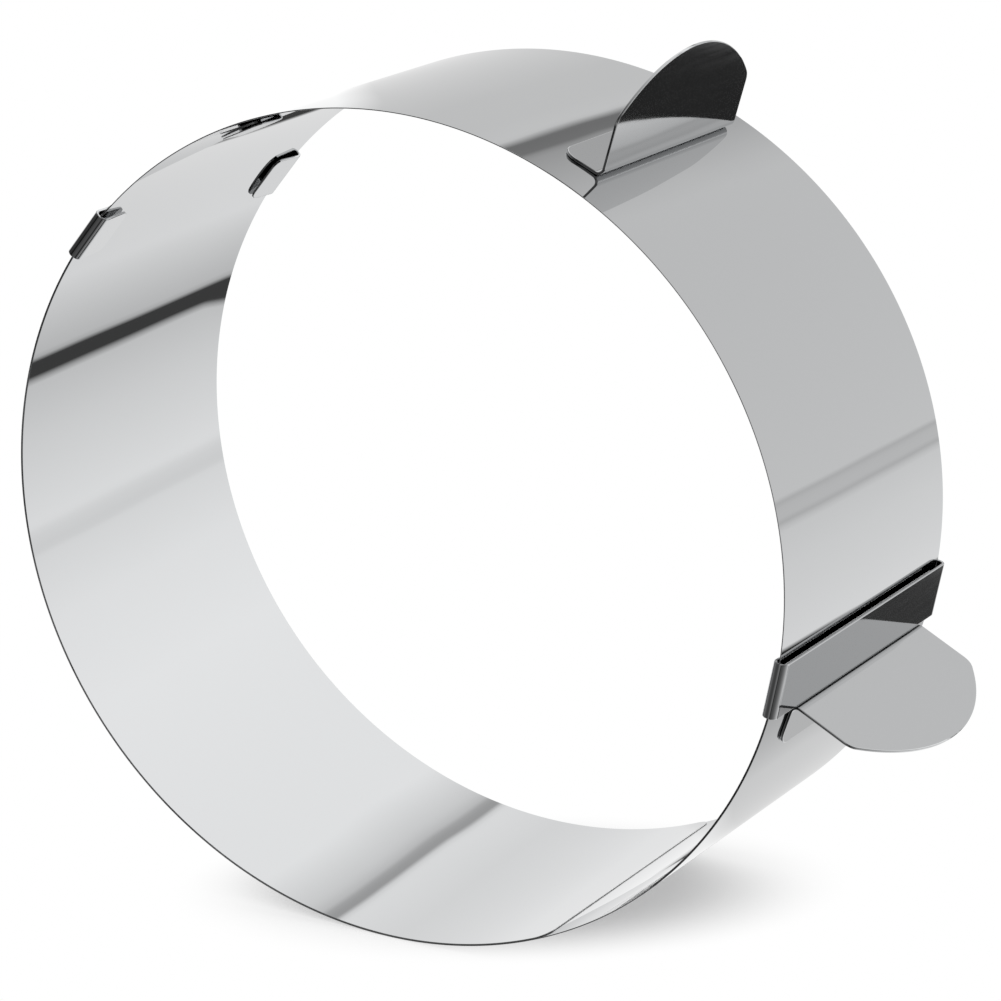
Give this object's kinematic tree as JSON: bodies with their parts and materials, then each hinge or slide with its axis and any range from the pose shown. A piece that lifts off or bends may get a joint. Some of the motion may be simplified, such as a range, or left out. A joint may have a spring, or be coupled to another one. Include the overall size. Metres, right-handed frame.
{
  "type": "adjustable cake ring",
  "caption": "Adjustable round cake ring of nested polished steel bands that slide round each other, with sheet handles and rim sleeves.",
  "frame": {"origin": "on the ring's axis, on the surface that it stands on when it lies flat", "axes": "+Z along the ring's axis, upwards; +X outwards halfway between the two handles"},
  "size_m": [0.2015, 0.2015, 0.0842],
  "materials": {
    "polished_band": "mirror-polished stainless steel strip",
    "polished_fitting": "smooth bright stainless steel sheet"
  },
  "bodies": {
    "inner": {"inner_band": "polished_band", "upper_handle": "polished_fitting"},
    "outer": {"outer_band": "polished_band", "lower_handle": "polished_fitting", "fixed_sleeve": "polished_fitting"},
    "sleeve": {"loose_sleeve": "polished_fitting"}
  },
  "joints": [
    {"name": "band_slide", "type": "hinge", "parent": "inner", "child": "outer", "pos_m": [0, 0, 0], "axis": [0, 0, 1], "range_deg": [-34, 66]},
    {"name": "sleeve_slide", "type": "hinge", "parent": "outer", "child": "sleeve", "pos_m": [0, 0, 0], "axis": [0, 0, 1], "range_deg": [0, 190]}
  ]
}
